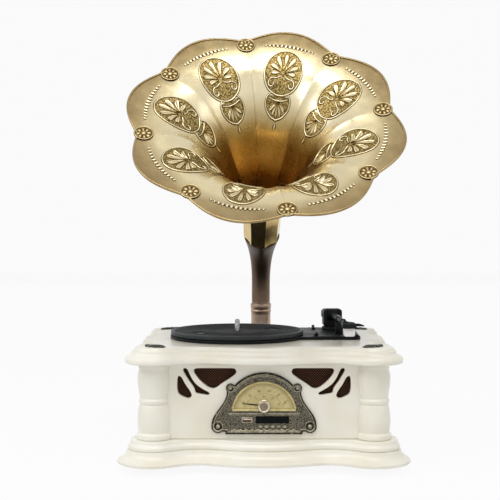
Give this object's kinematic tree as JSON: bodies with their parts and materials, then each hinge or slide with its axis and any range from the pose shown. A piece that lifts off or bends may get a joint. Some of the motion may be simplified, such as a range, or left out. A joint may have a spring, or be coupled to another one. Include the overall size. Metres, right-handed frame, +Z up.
{
  "type": "retro record player",
  "caption": "Ivory record player with a serpentine cabinet, turned corner columns, radio plate, turntable and tonearm, and a brass flower horn on a bronze elbow.",
  "frame": {"origin": "on the table, under the centre of the bounding box", "axes": "+Z up, the front with the radio plate and the open horn faces -Y, +X to the right seen from the front"},
  "size_m": [0.397, 0.4206, 0.6093],
  "materials": {
    "ivory_paint": "satin ivory lacquer on wood",
    "raw_board": "bare fibre board",
    "black_rubber": "matt",
    "aged_pewter": "antiqued pewter, darkened in the recesses",
    "speaker_cloth": "open brown weave",
    "black_plastic": "fine satin",
    "dial_card": "cream print card",
    "polished_brass": "polished",
    "antique_brass": "antiqued satin, darker towards the rim",
    "bronze": "bronze patina",
    "steel": "bright",
    "board_green": "solder resist",
    "white_plastic": "clear white"
  },
  "bodies": {
    "cabinet": {"plinth": "ivory_paint", "bottom_board": "raw_board", "foot_front_left": "black_rubber", "column_front_left": "ivory_paint", "corner_ornament_front_left": "aged_pewter", "foot_front_right": "black_rubber", "column_front_right": "ivory_paint", "corner_ornament_front_right": "aged_pewter", "foot_back_left": "black_rubber", "column_back_left": "ivory_paint", "corner_ornament_back_left": "aged_pewter", "foot_back_right": "black_rubber", "column_back_right": "ivory_paint", "corner_ornament_back_right": "aged_pewter", "front_panel": "ivory_paint", "back_panel": "ivory_paint", "lid_board": "ivory_paint", "side_panel_left": "ivory_paint", "speaker_cloth_left": "speaker_cloth", "speaker_left": "black_plastic", "side_panel_right": "ivory_paint", "speaker_cloth_right": "speaker_cloth", "speaker_right": "black_plastic", "radio_plate": "aged_pewter", "dial_face": "dial_card", "usb_socket": "steel", "display_window": "black_plastic", "circuit_board": "board_green", "deck_plate": "black_plastic", "drive_belt": "black_rubber", "motor": "steel", "arm_base": "black_plastic", "arm_rest": "black_plastic", "cue_bracket": "black_plastic", "horn_bell": "antique_brass", "horn_neck": "polished_brass", "horn_elbow": "bronze", "dc_inlet": "black_plastic", "line_out_left": "steel", "line_out_right": "steel"},
    "turntable": {"platter": "black_plastic", "sub_platter": "black_plastic", "platter_mat": "black_rubber", "centre_pin": "steel"},
    "pulley": {"motor_pulley": "antique_brass"},
    "arm_swivel": {"arm_yoke": "black_plastic"},
    "arm": {"tonearm": "black_plastic", "counterweight": "black_plastic", "cartridge": "black_plastic"},
    "guard": {"stylus_guard": "white_plastic"},
    "tuner": {"tuning_knob": "polished_brass", "dial_pointer": "black_plastic"},
    "button_1": {"push_button_1": "polished_brass"},
    "button_2": {"push_button_2": "polished_brass"},
    "button_3": {"push_button_3": "polished_brass"},
    "button_4": {"push_button_4": "polished_brass"},
    "button_5": {"push_button_5": "polished_brass"},
    "speed_switch": {"speed_lever": "black_plastic"},
    "power_switch": {"power_lever": "black_plastic"},
    "arm_lifter": {"cue_lever": "black_plastic"}
  },
  "joints": [
    {"name": "platter_spin", "type": "hinge", "parent": "cabinet", "child": "turntable", "pos_m": [-0.0393, 0.03429, 0.163], "axis": [0, 0, 1], "continuous": true},
    {"name": "pulley_spin", "type": "hinge", "parent": "cabinet", "child": "pulley", "pos_m": [-0.09748, 0.08759, 0.158], "axis": [0, 0, 1], "continuous": true},
    {"name": "tonearm_swing", "type": "hinge", "parent": "cabinet", "child": "arm_swivel", "pos_m": [0.1046, 0.1073, 0.17], "axis": [0, 0, 1], "range_deg": [-50, 0]},
    {"name": "tonearm_lift", "type": "hinge", "parent": "arm_swivel", "child": "arm", "pos_m": [0.1046, 0.1073, 0.1844], "axis": [-0.9974, -0.0719, 0], "range_deg": [0, 20]},
    {"name": "guard_pull", "type": "slide", "parent": "arm", "child": "guard", "axis": [0.0719, -0.9974, 0], "range_m": [0, 0.01]},
    {"name": "tuning_turn", "type": "hinge", "parent": "cabinet", "child": "tuner", "pos_m": [0, -0.0937, 0.0795], "axis": [0, 1, 0], "range_deg": [0, 168]},
    {"name": "button_1_press", "type": "slide", "parent": "cabinet", "child": "button_1", "axis": [0, 1, 0], "range_m": [0, 0.001], "stiffness_N_per_m": 250},
    {"name": "button_2_press", "type": "slide", "parent": "cabinet", "child": "button_2", "axis": [0, 1, 0], "range_m": [0, 0.001], "stiffness_N_per_m": 250},
    {"name": "button_3_press", "type": "slide", "parent": "cabinet", "child": "button_3", "axis": [0, 1, 0], "range_m": [0, 0.001], "stiffness_N_per_m": 250},
    {"name": "button_4_press", "type": "slide", "parent": "cabinet", "child": "button_4", "axis": [0, 1, 0], "range_m": [0, 0.001], "stiffness_N_per_m": 250},
    {"name": "button_5_press", "type": "slide", "parent": "cabinet", "child": "button_5", "axis": [0, 1, 0], "range_m": [0, 0.001], "stiffness_N_per_m": 250},
    {"name": "speed_select", "type": "hinge", "parent": "cabinet", "child": "speed_switch", "pos_m": [0.076, 0.02329, 0.164], "axis": [0, 0, 1], "range_deg": [-18, 18]},
    {"name": "power_select", "type": "hinge", "parent": "cabinet", "child": "power_switch", "pos_m": [0.076, 0.1093, 0.164], "axis": [0, 0, 1], "range_deg": [0, 25]},
    {"name": "cue_lift", "type": "hinge", "parent": "cabinet", "child": "arm_lifter", "pos_m": [0.126, 0.08529, 0.1667], "axis": [-1, 0, 0], "range_deg": [0, 60]}
  ],
  "couplings": [
    {"joint": "pulley_spin", "follows": "platter_spin", "ratio": 14.697}
  ]
}
